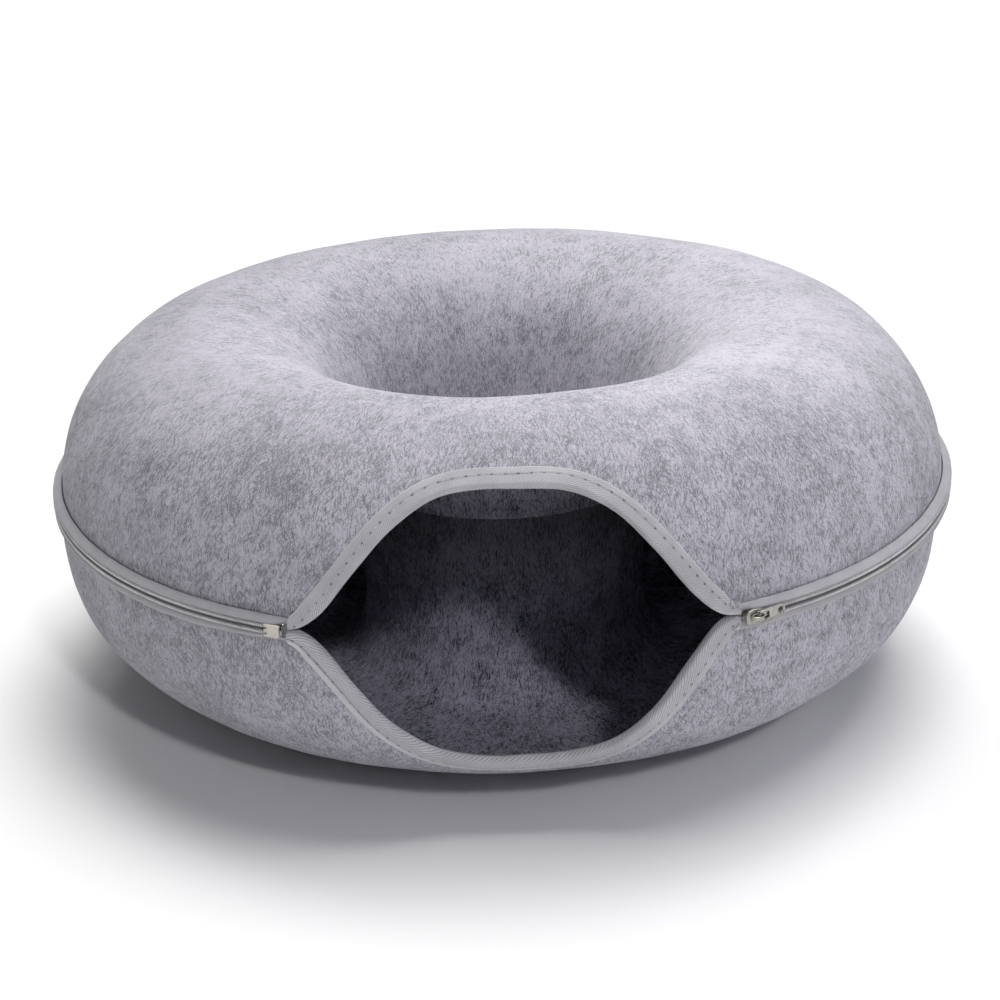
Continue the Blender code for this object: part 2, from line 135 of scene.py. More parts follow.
SIDE = (FELT_RADIUS, ZIP_HEIGHT)
CROWN = (CROWN_RADIUS, HEIGHT)
NECK_RADIUS = FUNNEL_RADIUS - CLEARANCE - FELT_THICKNESS
UPPER = Profile([
    quarter(SIDE, CROWN, 1.0, 1.0),
    quarter(CROWN, (FUNNEL_RADIUS, FUNNEL_END_HEIGHT), FUNNEL_FULLNESS, FUNNEL_FULLNESS, False),
], 1)
LOWER = Profile([
    quarter(SIDE, (FLOOR_RADIUS, 0.0), BOWL_FULLNESS_SIDE, BOWL_FULLNESS_FLOOR),
    [(FLOOR_RADIUS, 0.0), (NECK_FOOT_RADIUS, 0.0)],
    quarter((NECK_FOOT_RADIUS, 0.0), (NECK_RADIUS, NECK_FOOT_HEIGHT), 1.0, 1.0, False),
    [(NECK_RADIUS, NECK_FOOT_HEIGHT), (NECK_RADIUS, NECK_TOP_HEIGHT)],
], -1)


def wave(turn):
    return ZIP_WAVE * np.cos(ZIP_WAVE_COUNT * np.radians(turn))


def ring_point(turn, radius, height, sway=0.0):
    angle = np.radians(turn)
    x = radius * np.sin(angle) + sway
    y = RING_CENTRE_Y - radius * np.cos(angle)
    return np.stack(np.broadcast_arrays(x, y, height), -1)


def felt_point(profile, turn, length, proud=0.0):
    """A point on a shell, length away from the zip line and proud out of the felt."""
    turn, length, proud = np.broadcast_arrays(turn, length, proud)
    radius, height = profile.offset(length, proud)
    lift = wave(turn) * np.maximum(0.0, 1.0 - length / ZIP_WAVE_REACH)
    if profile is UPPER:
        return ring_point(turn, radius, height + lift)
    outward = (radius - SWAY_INNER_RADIUS) / (FELT_RADIUS - SWAY_INNER_RADIUS)
    share = outward.clip(0, 1) * height.clip(0) / ZIP_HEIGHT
    return ring_point(turn, radius, height + lift, BOWL_SWAY * share)


def zip_point(turn, up, out):
    """A point near the zip line: up from it, and out of the felt's radius."""
    return ring_point(turn, FELT_RADIUS + out, ZIP_HEIGHT + wave(turn) + up)


def lip_length(lip, turn):
    away = (np.asarray(turn) + 180.0) % 360.0 - 180.0 - lip["peak"]
    corner = np.where(away > 0, lip["right"][0], lip["left"][0])
    roundness = np.where(away > 0, lip["right"][1], lip["left"][1])
    share = np.minimum(np.abs(away) / corner, 1.0)
    return LIP_PARTING + lip["reach"] * np.cos(math.pi / 2 * share ** roundness) ** 2


def lip_slope(lip, turn, step=0.1):
    rise = lip_length(lip, turn + step) - lip_length(lip, turn - step)
    return rise / (FELT_RADIUS * math.radians(2 * step))


def felt_edge_length(lip, turn):
    return lip_length(lip, turn) + LIP_SETBACK * np.sqrt(1 + lip_slope(lip, turn) ** 2)


def smooth(low, high, value):
    share = np.clip((value - low) / (high - low), 0, 1)
    return share * share * (3 - 2 * share)


def lumps(points, seed, count, shortest, longest):
    """Soft unevenness: waves of many directions and lengths, about 1 high."""
    rng = np.random.default_rng(seed)
    total = np.zeros(points.shape[:-1])
    for _ in range(count):
        way = rng.normal(size=3)
        way /= np.linalg.norm(way)
        long = shortest * (longest / shortest) ** rng.random()
        total += np.sin(points @ way * (math.tau / long) + rng.uniform(0, math.tau))
    return total / math.sqrt(count / 2)


# ---------------------------------------------------------------- meshes

def add_mesh(name, points, faces, loop_uv=None, finishes=(), face_finish=None, smooth_angle=None):
    mesh = bpy.data.meshes.new(name)
    mesh.from_pydata(np.asarray(points).reshape(-1, 3).tolist(), [], faces)
    if loop_uv is not None:
        layer = mesh.uv_layers.new(name="Cloth")
        layer.uv.foreach_set("vector", np.asarray(loop_uv, np.float32).ravel())
    for finish in finishes:
        mesh.materials.append(finish)
    if face_finish is not None:
        mesh.polygons.foreach_set("material_index", np.asarray(face_finish, np.int32))
    mesh.shade_smooth()
    if smooth_angle:
        mesh.set_sharp_from_angle(angle=math.radians(smooth_angle))
    mesh.update()
    item = bpy.data.objects.new(name, mesh)
    bpy.context.scene.collection.objects.link(item)
    return item


def tube_faces(start, rings, sides):
    """The faces of a closed tube whose rings of points follow each other from start."""
    faces = []
    for i in range(rings - 1):
        here, there = start + i * sides, start + (i + 1) * sides
        for k in range(sides):
            n = (k + 1) % sides
            faces.append((here + k, here + n, there + n, there + k))
    last = start + (rings - 1) * sides
    return faces + [tuple(range(start + sides - 1, start - 1, -1)), tuple(range(last, last + sides))]


def volume(points, quads):
    a, b, c, d = (points[quads[:, i]] for i in range(4))
    return (np.einsum("ij,ij->i", a, np.cross(b, c)) + np.einsum("ij,ij->i", a, np.cross(c, d))).sum()


def sweep(name, rings, across, along, closed, finishes, ring_finish=None, masks=None,
          smooth_angle=None):
    """A closed skin through rings (columns x points x 3). across (columns x points) and along
    (columns + 1) are the cloth's coordinates; masks are named values for each point."""
    columns, size = rings.shape[:2]
    ids = np.arange(columns * size).reshape(columns, size)
    steps = columns if closed else columns - 1
    here, there = np.arange(steps), (np.arange(steps) + 1) % columns
    i, j = np.arange(size), (np.arange(size) + 1) % size
    quads = np.stack([ids[here][:, i], ids[here][:, j], ids[there][:, j], ids[there][:, i]], -1)
    quads = quads.reshape(-1, 4)
    u0, u1 = along[:-1][:steps, None], along[1:][:steps, None]
    u0, u1 = np.broadcast_to(u0, (steps, size)), np.broadcast_to(u1, (steps, size))
    v0, v1 = across[here], across[there]
    last = np.arange(size) == size - 1
    w0 = np.where(last, v0, v0[:, j])
    w1 = np.where(last, v1, v1[:, j])
    uv = np.stack([np.stack([u0, v0], -1), np.stack([u0, w0], -1),
                   np.stack([u1, w1], -1), np.stack([u1, v1], -1)], 2).reshape(-1, 4, 2)
    flat = rings.reshape(-1, 3)
    if volume(flat, quads) < 0:
        quads, uv = quads[:, ::-1], uv[:, ::-1]
    faces, loops = quads.tolist(), uv.reshape(-1, 2)
    slots = None
    if ring_finish is not None:
        slots = np.tile(ring_finish, steps)
    if not closed:
        ends = [ids[0].tolist(), ids[-1][::-1].tolist()]
        faces += ends
        loops = np.concatenate([loops, np.zeros((2 * size, 2))])
        if slots is not None:
            slots = np.concatenate([slots, [ring_finish[0]] * 2])
    item = add_mesh(name, flat, faces, loops, finishes, slots, smooth_angle)
    for key, values in (masks or {}).items():
        layer = item.data.attributes.new(key, "FLOAT", "POINT")
        layer.data.foreach_set("value", np.asarray(values, np.float32).ravel())
    return item


# ---------------------------------------------------------------- materials

class Finish:
    """A node material, with short calls for the nodes it uses."""

    def __init__(self, name, roughness=0.9, **sockets):
        self.material = bpy.data.materials.new(name)
        self.material.use_nodes = True
        self.tree = self.material.node_tree
        self.shader = self.tree.nodes["Principled BSDF"]
        self.put("Roughness", roughness)
        for key, value in sockets.items():
            self.put(key.replace("_", " "), value)

    def put(self, socket, value):
        target = self.shader.inputs[socket]
        if isinstance(value, bpy.types.NodeSocket):
            self.tree.links.new(value, target)
        else:
            target.default_value = value

    def node(self, kind, *inputs, out=0, **settings):
        made = self.tree.nodes.new("ShaderNode" + kind)
        for key, value in settings.items():
            setattr(made, key, value)
        for place, value in enumerate(inputs):
            if value is None:
                continue
            if isinstance(value, bpy.types.NodeSocket):
                self.tree.links.new(value, made.inputs[place])
            else:
                made.inputs[place].default_value = value
        return made.outputs[out]

    def math(self, operation, a, b=None, c=None, clamp=False):
        return self.node("Math", a, b, c, operation=operation, use_clamp=clamp)

    def place(self):
        return self.node("TexCoord", out=3)

    def cloth(self):
        """The two cloth coordinates."""
        made = self.tree.nodes.new("ShaderNodeUVMap")
        made.uv_map = "Cloth"
        split = self.tree.nodes.new("ShaderNodeSeparateXYZ")
        self.tree.links.new(made.outputs[0], split.inputs[0])
        return split.outputs[0], split.outputs[1]

    def vector(self, x, y, z=0.0):
        return self.node("CombineXYZ", x, y, z)

    def noise(self, at, scale, detail=2.0, rough=0.5, flat=False, warp=0.0):
        made = self.tree.nodes.new("ShaderNodeTexNoise")
        made.noise_dimensions = "2D" if flat else "3D"
        self.tree.links.new(at, made.inputs["Vector"])
        made.inputs["Scale"].default_value = scale
        made.inputs["Detail"].default_value = detail
        made.inputs["Roughness"].default_value = rough
        made.inputs["Distortion"].default_value = warp
        return made.outputs[0]

    def span(self, value, low, high, to_low=0.0, to_high=1.0, soft=True):
        made = self.tree.nodes.new("ShaderNodeMapRange")
        made.interpolation_type = "SMOOTHSTEP" if soft else "LINEAR"
        self.tree.links.new(value, made.inputs[0])
        for socket, number in zip(("From Min", "From Max", "To Min", "To Max"),
                                  (low, high, to_low, to_high)):
            made.inputs[socket].default_value = number
        return made.outputs[0]

    def mix(self, share, a, b, blend="MIX"):
        made = self.tree.nodes.new("ShaderNodeMix")
        made.data_type = "RGBA"
        made.blend_type = blend
        for socket, value in ((made.inputs[0], share), (made.inputs[6], a), (made.inputs[7], b)):
            if isinstance(value, bpy.types.NodeSocket):
                self.tree.links.new(value, socket)
            else:
                socket.default_value = value if socket is made.inputs[0] else (*value, 1.0)
        return made.outputs[2]

    def attribute(self, name):
        made = self.tree.nodes.new("ShaderNodeAttribute")
        made.attribute_name = name
        return made.outputs["Fac"]

    def bump(self, height, distance, strength=1.0, after=None):
        made = self.tree.nodes.new("ShaderNodeBump")
        made.inputs["Strength"].default_value = strength
        made.inputs["Distance"].default_value = distance
        self.tree.links.new(height, made.inputs["Height"])
        if after is not None:
            self.tree.links.new(after, made.inputs["Normal"])
        return made.outputs[0]


def fibres(f, around, along, angle, width, length, seed):
    """Streaks in the cloth plane: about width by length, turned by angle from the meridian."""
    c, s = math.cos(math.radians(angle)), math.sin(math.radians(angle))
    a = f.math("ADD", f.math("MULTIPLY", around, c), f.math("MULTIPLY", along, s))
    b = f.math("SUBTRACT", f.math("MULTIPLY", along, c), f.math("MULTIPLY", around, s))
    at = f.vector(f.math("MULTIPLY", a, 1 / width), f.math("MULTIPLY", b, 1 / length), seed)
    return f.noise(at, 1.0, 2.0, 0.65)


# Angle from the meridian, width and length of the fibres; the first three are dark, the last white
FIBRE_LAYERS = ((5, 0.0009, 0.0056), (-30, 0.0008, 0.0044), (36, 0.0008, 0.0040),
                (-14, 0.0010, 0.0062))
FIBRE_RADII = (0.270, 0.140)
DRIFT_SCALE, DRIFT_WIDTH = 55.0, 0.009
CLOUD_SCALE, PATCH_SCALE, GRAIN_SCALE = 20.0, 75.0, 1100.0
CROWN_TOP, CROWN_SIDE = 0.238, 0.195
# Grey that the left side tends to: partly the felt's own tone, partly painted shade
LEFT_TONE_AND_SHADE = (0.16, 0.163, 0.162)
# Colour of the painted shade beside the end of the funnel
SEAM_SHADE_COLOUR = (0.01, 0.01, 0.012)


def felt_finish(name, light, grey, dark, cloud, contrast, seam_shade=0.0):
    """Needled felt: short grey and white fibres, most near the meridians, in soft clouds. Three
    tones go by place on the object: more grey and darker to the left (partly the felt's own tone,
    partly painted shade), more dark fibres on the crown's front (partly denser fibres, partly painted
    shade), and painted shade of strength seam_shade beside the end of the funnel, weaker above it."""
    f = Finish(name, 0.95)
    f.put("Sheen Weight", 0.1)
    f.put("Sheen Roughness", 0.6)
    f.put("Specular IOR Level", 0.12)
    place = f.place()
    turn, along = f.cloth()
    drift = f.noise(place, DRIFT_SCALE, 1.0, 0.5)
    drift = f.math("MULTIPLY", f.math("SUBTRACT", drift, 0.5), DRIFT_WIDTH)
    right, back, up = f.node("SeparateXYZ", place).node.outputs
    back = f.math("SUBTRACT", back, RING_CENTRE_Y)
    out = f.math("SQRT", f.math("ADD", f.math("MULTIPLY", right, right),
                                f.math("MULTIPLY", back, back)))
    inner = f.span(out, 0.185, 0.215, 1.0, 0.0)
    layers = []
    for seed, (angle, width, length) in enumerate(FIBRE_LAYERS):
        pair = []
        for radius in FIBRE_RADII:
            around = f.math("ADD", f.math("MULTIPLY", turn, radius), drift)
            pair.append(fibres(f, around, along, angle, width, length, 1.7 * seed + 40 * radius))
        layers.append(f.math("ADD", f.math("MULTIPLY", pair[0], f.math("SUBTRACT", 1.0, inner)),
                             f.math("MULTIPLY", pair[1], inner)))
    clouds = f.noise(place, CLOUD_SCALE, 2.0, 0.55)
    patches = f.noise(place, PATCH_SCALE, 4.0, 0.72)
    grain = f.noise(place, GRAIN_SCALE, 2.0, 0.7)
    density = f.math("ADD", f.math("MULTIPLY", clouds, 0.14), f.math("MULTIPLY", patches, 0.26))
    # More dark fibres on the crown's front, by the mouth: partly denser fibres, partly painted shade
    thick = f.math("MULTIPLY", f.span(back, -0.12, -0.20), f.span(up, 0.19, 0.22))
    density = f.math("ADD", density, f.span(up, CROWN_TOP, CROWN_SIDE, -0.205, -0.178))
    density = f.math("ADD", density, f.math("MULTIPLY", thick, 0.045))
    strokes = 0.0
    for layer, share in zip(layers, (0.0, 0.02, 0.04)):
        dark_here = f.span(f.math("ADD", layer, density), 0.485 + share, 0.695 + share)
        strokes = f.math("MAXIMUM", strokes, dark_here)
    base = f.mix(f.span(clouds, 0.34, 0.68, 0.0, cloud), light, grey)
    base = f.mix(f.span(patches, 0.36, 0.70, 0.0, cloud * 0.8), base, grey)
    contrast = f.span(up, CROWN_TOP, CROWN_SIDE, contrast * 0.9, contrast * 1.1)
    colour = f.mix(f.math("MULTIPLY", strokes, contrast), base, dark)
    white = tuple(min(v * 1.15, 0.95) for v in light)
    colour = f.mix(f.span(layers[3], 0.54, 0.74, 0.0, 0.6), colour, white)
    colour = f.mix(f.span(grain, 0.48, 0.75, 0.0, 0.45), colour, dark)
    colour = f.mix(f.span(grain, 0.50, 0.25, 0.0, 0.5), colour, white)
    # More grey and darker to the left: partly the felt's own tone, partly painted shade
    left_tone_and_shade = f.math("MULTIPLY", f.span(right, 0.02, -0.24), f.span(up, 0.220, 0.11))
    colour = f.mix(f.math("MULTIPLY", left_tone_and_shade, 0.15), colour, LEFT_TONE_AND_SHADE)
    # Painted shade: the felt darkens under the end of the funnel, fading downwards, and less above the
    # funnel's end
    seam_shade_mask = f.math("MULTIPLY", f.span(up, 0.060, 0.128), f.span(up, 0.1312, 0.1305, 0.6, 1.0))
    seam_shade_mask = f.math("MULTIPLY", seam_shade_mask, f.span(out, 0.102, 0.098))
    colour = f.mix(f.math("MULTIPLY", seam_shade_mask, seam_shade), colour, SEAM_SHADE_COLOUR)
    f.put("Base Color", colour)
    pile = f.math("ADD", f.math("ADD", layers[0], layers[1]), f.math("ADD", layers[3], grain))
    f.put("Normal", f.bump(pile, 0.0005, 0.6))
    return f.material


def tape_finish(name, colour, shade, along_pitch, across_pitch, relief, roughness=0.75):
    """Close woven tape: fine cross ribs and warp lines."""
    f = Finish(name, roughness)
    f.put("Sheen Weight", 0.15)
    f.put("Specular IOR Level", 0.3)
    along, across = f.cloth()
    weft = f.math("SINE", f.math("MULTIPLY", along, math.tau / along_pitch))
    warp = f.math("SINE", f.math("MULTIPLY", across, math.tau / across_pitch))
    weave = f.math("MULTIPLY", weft, warp)
    cells = f.span(weave, -1.0, 1.0, soft=False)
    place = f.place()
    soil = f.noise(place, 90.0, 3.0, 0.6)
    yarn = f.noise(place, 900.0, 2.0, 0.6)
    tone = f.mix(f.span(soil, 0.3, 0.7, 0.0, 0.35), colour, shade)
    tone = f.mix(f.math("MULTIPLY", cells, 0.16), tone, shade)
    tone = f.mix(f.span(yarn, 0.45, 0.75, 0.0, 0.25), tone, tuple(v * 1.15 for v in colour))
    f.put("Base Color", tone)
    height = f.math("ADD", f.math("MULTIPLY", weave, 0.5), f.math("MULTIPLY", yarn, 0.8))
    f.put("Normal", f.bump(height, relief, 0.7))
    return f.material


def twill_finish(name, colour, shade, light):
    """Twill tape: ridges stand in the mesh; the masks add painted shade in the valleys, the seam's
    groove and the stitch holes, a painted highlight on the strip beside the seam, and a lighter outer
    edge.
    """
    f = Finish(name, 0.72)
    f.put("Sheen Weight", 0.2)
    f.put("Specular IOR Level", 0.35)
    along, across = f.cloth()
    wave_at = f.math("SINE", f.math("MULTIPLY", f.attribute("phase"), math.pi))
    ridge = f.math("POWER", f.math("ABSOLUTE", wave_at), 0.8)
    groove = f.attribute("groove")
    hole = f.attribute("hole")
    strip = f.attribute("strip")
    place = f.place()
    yarn_at = f.vector(f.math("MULTIPLY", along, 1 / 0.0009),
                       f.math("MULTIPLY", across, 1 / 0.0004), 0.0)
    yarn = f.noise(yarn_at, 1.0, 2.0, 0.6)
    soil = f.noise(place, 70.0, 3.0, 0.6)
    warp = f.math("SINE", f.math("MULTIPLY", along, math.tau / 0.00055))
    weft = f.math("SINE", f.math("MULTIPLY", across, math.tau / 0.0005))
    weave = f.math("MULTIPLY", warp, weft)
    # Painted shade in the twill's valleys, the ridges kept lighter
    tone = f.mix(f.span(ridge, 0.05, 0.85), shade, colour)
    # Painted shade in the groove that the seam pulls into the tape
    tone = f.mix(f.math("MULTIPLY", groove, 0.55, clamp=True), tone, shade)
    tone = f.mix(f.span(soil, 0.35, 0.7, 0.0, 0.25), tone, shade)
    tone = f.mix(f.span(yarn, 0.5, 0.75, 0.0, 0.35), tone, light)
    # Painted highlight on the strip beside the seam; the outer edge is made lighter too
    tone = f.mix(f.math("MULTIPLY", strip, 0.55), tone, light)
    # Painted shade in the needle holes and between the close stitches at the ends
    tone = f.mix(f.math("MULTIPLY", hole, 0.9, clamp=True), tone, (0.02, 0.02, 0.023))
    f.put("Base Color", tone)
    height = f.math("ADD", f.math("MULTIPLY", weave, 0.4), f.math("MULTIPLY", yarn, 0.8))
    f.put("Normal", f.bump(height, 0.0002, 0.6))
    return f.material


def plain_detail(name, colour, roughness, spread, grain, relief, **sockets):
    """Moulded or plated surface: faint tone and gloss changes and a fine grain."""
    f = Finish(name, roughness, **sockets)
    place = f.place()
    tone = f.noise(place, grain / 6, 3.0, 0.6)
    fine = f.noise(place, grain, 3.0, 0.6)
    f.put("Base Color", f.mix(f.span(tone, 0.3, 0.7), tuple(v * (1 - spread) for v in colour), colour))
    f.put("Roughness", f.span(fine, 0.3, 0.7, roughness * 0.75, min(roughness * 1.35, 1.0)))
    f.put("Normal", f.bump(fine, relief, 0.5))
    return f.material


def coil_finish(name, colour, dark, soiled):
    """Moulded coils, pale, with painted shade where they meet in the middle of the chain."""
    f = Finish(name, 0.38)
    # Painted shade: the coils darken towards the middle of the chain, where they meet
    tone = f.mix(f.span(f.attribute("inward"), 0.55, 0.85), colour, dark)
    soil = f.noise(f.place(), 240.0, 3.0, 0.6)
    f.put("Base Color", f.mix(f.span(soil, 0.35, 0.7, 0.0, 0.3), tone, soiled))
    f.put("Normal", f.bump(f.noise(f.place(), 3000.0, 2.0, 0.5), 0.00003, 0.4))
    return f.material


# ---------------------------------------------------------------- felt shells

def felt_shell(name, profile, lip, columns, outer_rows, inner_rows, outside, inside):
    turns = -180.0 + 360.0 / columns * np.arange(columns)
    edge = felt_edge_length(lip, turns)[:, None]
    lip_at = lip_length(lip, turns)[:, None]

    def rows(count):
        return edge + (profile.whole - edge) * np.linspace(0, 1, count + 1)

    def face(count, proud):
        lengths = rows(count)
        base = felt_point(profile, turns[:, None], lengths)
        free = smooth(0.014, 0.040, lengths - lip_at) * smooth(0.0, 0.03, profile.whole - lengths)
        free = free * smooth(0.004, 0.020, base[..., 2])
        swell = (0.00032 * lumps(base, 11, 14, 0.090, 0.220)
                 + 0.00007 * lumps(base, 12, 18, 0.018, 0.040))
        return lengths, felt_point(profile, turns[:, None], lengths, proud + swell * free)

    outer_lengths, outer = face(outer_rows, 0.0)
    inner_lengths, inner = face(inner_rows, -FELT_THICKNESS)
    rings = np.concatenate([outer, inner[:, ::-1]], 1)
    across = np.concatenate([outer_lengths, inner_lengths[:, ::-1]], 1)
    along = np.radians(-180.0 + 360.0 / columns * np.arange(columns + 1))
    slots = np.concatenate([np.zeros(outer_rows + 1), np.ones(inner_rows + 1)]).astype(int)
    return sweep(name, rings, across, along, True, (outside, inside), slots, smooth_angle=50)


# ---------------------------------------------------------------- bindings

def lip_path(profile, lip, step):
    """Turns evenly spaced along the edge of the mouth, with the length travelled."""
    low = lip["peak"] - lip["left"][0]
    turns = low + (lip["left"][0] + lip["right"][0] + lip["tail"]) * np.linspace(0, 1, 6001)
    places = felt_point(profile, turns, lip_length(lip, turns))
    lengths = np.concatenate([[0], np.cumsum(np.linalg.norm(np.diff(places, axis=0), axis=1))])
    count = round(lengths[-1] / step)
    even = np.linspace(0, lengths[-1], count + 1)
    return np.interp(even, lengths, turns), even


STITCH = 0.0074
HOLE_LENGTH = 0.0008
HOLE_WIDTH = 0.00050
THREAD_RADIUS = 0.00016
TACK_RADIUS = 0.00022


class Binding:
    """A tape folded over a mouth edge, with its cloth coordinates: along the edge, and across
    from the outer edge over the fold."""

    def __init__(self, profile, lip, twill):
        self.profile, self.lip, self.twill = profile, lip, twill
        self.turns, self.travelled = lip_path(profile, lip, 0.00045)
        self.whole = self.travelled[-1]
        from_end = np.minimum(self.travelled, self.whole - self.travelled)
        near_end = np.maximum(0, 1 - from_end / BINDING_TAPER)
        self.width = BINDING_WIDTH + (BINDING_END_WIDTH - BINDING_WIDTH) * near_end
        self.lift = BINDING_END_LIFT * near_end ** 2
        self.top = BINDING_THICKNESS + CLEARANCE

    def place(self, turns, into, proud):
        """Points into the felt from the mouth's edge, square to it, and proud of the felt."""
        slope = lip_slope(self.lip, turns)
        square = np.sqrt(1 + slope ** 2)
        aside = -slope / square * into / (FELT_RADIUS * math.radians(1.0))
        length = lip_length(self.lip, turns) + into / square
        return felt_point(self.profile, turns + aside, length, proud)

    def on_top(self, travelled, across, proud):
        """Points on the outer face of the tape."""
        turns = np.interp(travelled, self.travelled, self.turns)
        width = np.interp(travelled, self.travelled, self.width)
        lift = np.interp(travelled, self.travelled, self.lift)
        return self.place(turns, width - across, self.top + 0.9 * lift + proud)

    def skin(self, name, finish):
        turns, travelled, width, lift = self.turns, self.travelled, self.width, self.lift
        inner_face = -FELT_THICKNESS - 2 * CLEARANCE
        back = inner_face - BINDING_THICKNESS
        round_in, round_way = 0.0026, 0.0075
        rows = []

        def row(into, proud, into_way, proud_way, across, relief):
            rows.append([np.broadcast_to(np.asarray(v, float), turns.shape)
                         for v in (into, proud, into_way, proud_way, across, relief)])

        outer_rows, fold_rows, inner_rows = 32, 26, 20
        for share in np.linspace(0, 1, outer_rows + 1):
            into = width - (width - round_in) * share
            from_edge = width - into
            droop = 0.0004 * np.maximum(0, 1 - from_edge / 0.0007) ** 2
            row(into, self.top + lift * (0.5 + 0.5 * min(1, 2 * share)) - droop, 0, 1, from_edge, 1)
        for share in np.linspace(0, 1, fold_rows + 2)[1:-1]:
            angle = math.pi / 2 - math.pi * share
            c, s = math.cos(angle), math.sin(angle)
            middle, half = (self.top + lift + back) / 2, (self.top + lift - back) / 2
            row(round_in * (1 - c ** 0.75), middle + half * math.copysign(abs(s) ** 0.75, s), -c, s,
                width - round_in + round_way * share, 0.8)
        for share in np.linspace(0, 1, inner_rows + 1):
            into = round_in + (width - round_in) * share
            row(into, back, 0, -1, width - 2 * round_in + round_way + into, 0.8)
        for share in np.linspace(1, 0, 4):
            row(round_in + (width - round_in) * share, inner_face, 0, 0, 0, 0)
        for share in np.linspace(0, 1, 4):
            row(round_in + (width - round_in) * share,
                CLEARANCE + lift * (1 - 0.5 * max(0, 2 * share - 1)), 0, 0, 0, 0)
        into, proud, into_way, proud_way, across, relief = (np.stack(v, 1) for v in zip(*rows))
        shown = relief > 0
        outer = np.arange(len(rows)) <= outer_rows + 4
        twill, u = self.twill, travelled[:, None]
        angle = math.radians(twill["angle"])
        bend = 0.00030 * np.sin(u * 95 + across * 160) + 0.0002 * np.sin(u * 260 + 2)
        phase = (u * math.sin(angle) + (across + bend) * math.cos(angle)) / twill["pitch"]
        height = twill["relief"] * (np.abs(np.sin(math.pi * phase)) ** 0.7 - 0.6) * relief
        seam = np.interp(travelled, *twill["seam"])[:, None]
        # The seam's groove: pressed into the tape, and darkened with painted shade
        groove = (np.exp(-((across - seam) / 0.0006) ** 2) * outer
                  * np.interp(travelled, *twill["groove"])[:, None])
        # Needle holes and close stitches: pressed into the tape, and darkened with painted shade
        hole = np.zeros(across.shape)
        for at, depth in self.holes():
            near = np.abs(travelled - at) < 0.003
            hole[near] += depth * np.exp(-(((u[near] - at) / HOLE_LENGTH) ** 2
                                           + ((across[near] - seam[near]) / HOLE_WIDTH) ** 2))
        for low, high, across_low, across_high, _ in twill["tacks"]:
            from_tail = self.whole - u
            tack = smooth(low - 0.0006, low, from_tail) * smooth(high + 0.0006, high, from_tail)
            hole += 0.6 * tack * smooth(across_high + 0.0004, across_high - 0.0002, across)
        hole = hole * outer
        slack = 0.00022 * np.sin(u * 70 + 1) + 0.00015 * np.sin(u * 171 + across * 250)
        height = height - 0.00045 * groove - 0.0005 * hole + slack * shown * smooth(0, 0.004, across)
        rings = self.place(turns[:, None], into + into_way * height, proud + proud_way * height)
        # Painted highlight on the strip beside the seam, and a lighter outer edge
        strip = smooth(0.0006, 0.0, np.abs(across - 0.0019) - 0.0016) * outer
        edge = smooth(0.0009, 0.0, across) * outer * twill["edge"]
        strip = strip * np.interp(travelled, *twill["strip"])[:, None] + edge
        masks = {"phase": phase, "groove": groove, "hole": np.clip(hole, 0, 1),
                 "strip": strip.clip(0, 1)}
        along = np.append(travelled, self.whole)
        return sweep(name, rings, across, along, False, (finish,), masks=masks)

    def holes(self):
        """Where the needle went through: places along the tape, and how deep it drew in."""
        rng = np.random.default_rng(self.twill["seed"])
        at = 0.004
        while at < self.whole - 0.003:
            yield at, rng.uniform(0.55, 1.15)
            at += STITCH + rng.normal(0, 0.00025)

    def stitches(self, name, finish):
        """The seam's thread between the needle holes, and the close stitches at the tape's ends."""
        tubes = []
        holes = [at for at, _ in self.holes()]
        for start, end in zip(holes, holes[1:]):
            share = np.linspace(0, 1, 9)
            travelled = start + 0.0006 + (end - start - 0.0012) * share
            seam = np.interp(travelled, *self.twill["seam"])
            sink = 0.00030 * (2 * share - 1) ** 4
            tubes.append((self.on_top(travelled, seam, 0.00004 - sink), THREAD_RADIUS))
        rng = np.random.default_rng(self.twill["seed"] + 1)
        for low, high, across_low, across_high, count in self.twill["tacks"]:
            for travelled in np.linspace(low, high, count):
                travelled = self.whole - travelled + rng.uniform(-0.0002, 0.0002)
                across = np.linspace(across_low, across_high, 7) + rng.uniform(-0.0004, 0.0004)
                arch = 0.0004 * np.sin(np.linspace(0, math.pi, 7))
                travelled = travelled + 0.15 * (across - across_low)
                tubes.append((self.on_top(travelled, across, arch), TACK_RADIUS))
        return threads(name, tubes, finish)


def threads(name, tubes, finish, sides=6):
    """Round threads along lines of points, closed at both ends, in one mesh."""
    points, faces = [], []
    for line, radius in tubes:
        ahead = np.gradient(line, axis=0)
        ahead /= np.linalg.norm(ahead, axis=1)[:, None]
        out = line - np.array([0.0, RING_CENTRE_Y, ZIP_HEIGHT])
        aside = np.cross(ahead, out)
        aside /= np.linalg.norm(aside, axis=1)[:, None]
        over = np.cross(aside, ahead)
        start = len(points)
        taper = np.sqrt(np.clip(np.sin(np.linspace(0.12, math.pi - 0.12, len(line))), 0, 1) ** 0.5)
        for i in range(len(line)):
            for k in range(sides):
                angle = math.tau * k / sides
                way = math.cos(angle) * aside[i] + math.sin(angle) * over[i]
                points.append(line[i] + radius * taper[i] * way)
        faces += tube_faces(start, len(line), sides)
    return add_mesh(name, np.array(points), faces, None, (finish,))


# ---------------------------------------------------------------- zip

def slanted(tape, turn, up):
    from_right = np.maximum(0, 1 - (turn - TAPE_RIGHT_END) / TAPE_SLANT_REACH)
    from_left = np.maximum(0, 1 - (TAPE_LEFT_END - turn) / TAPE_SLANT_REACH)
    return turn + up * (tape["right_slant"] * from_right + tape["left_slant"] * from_left)


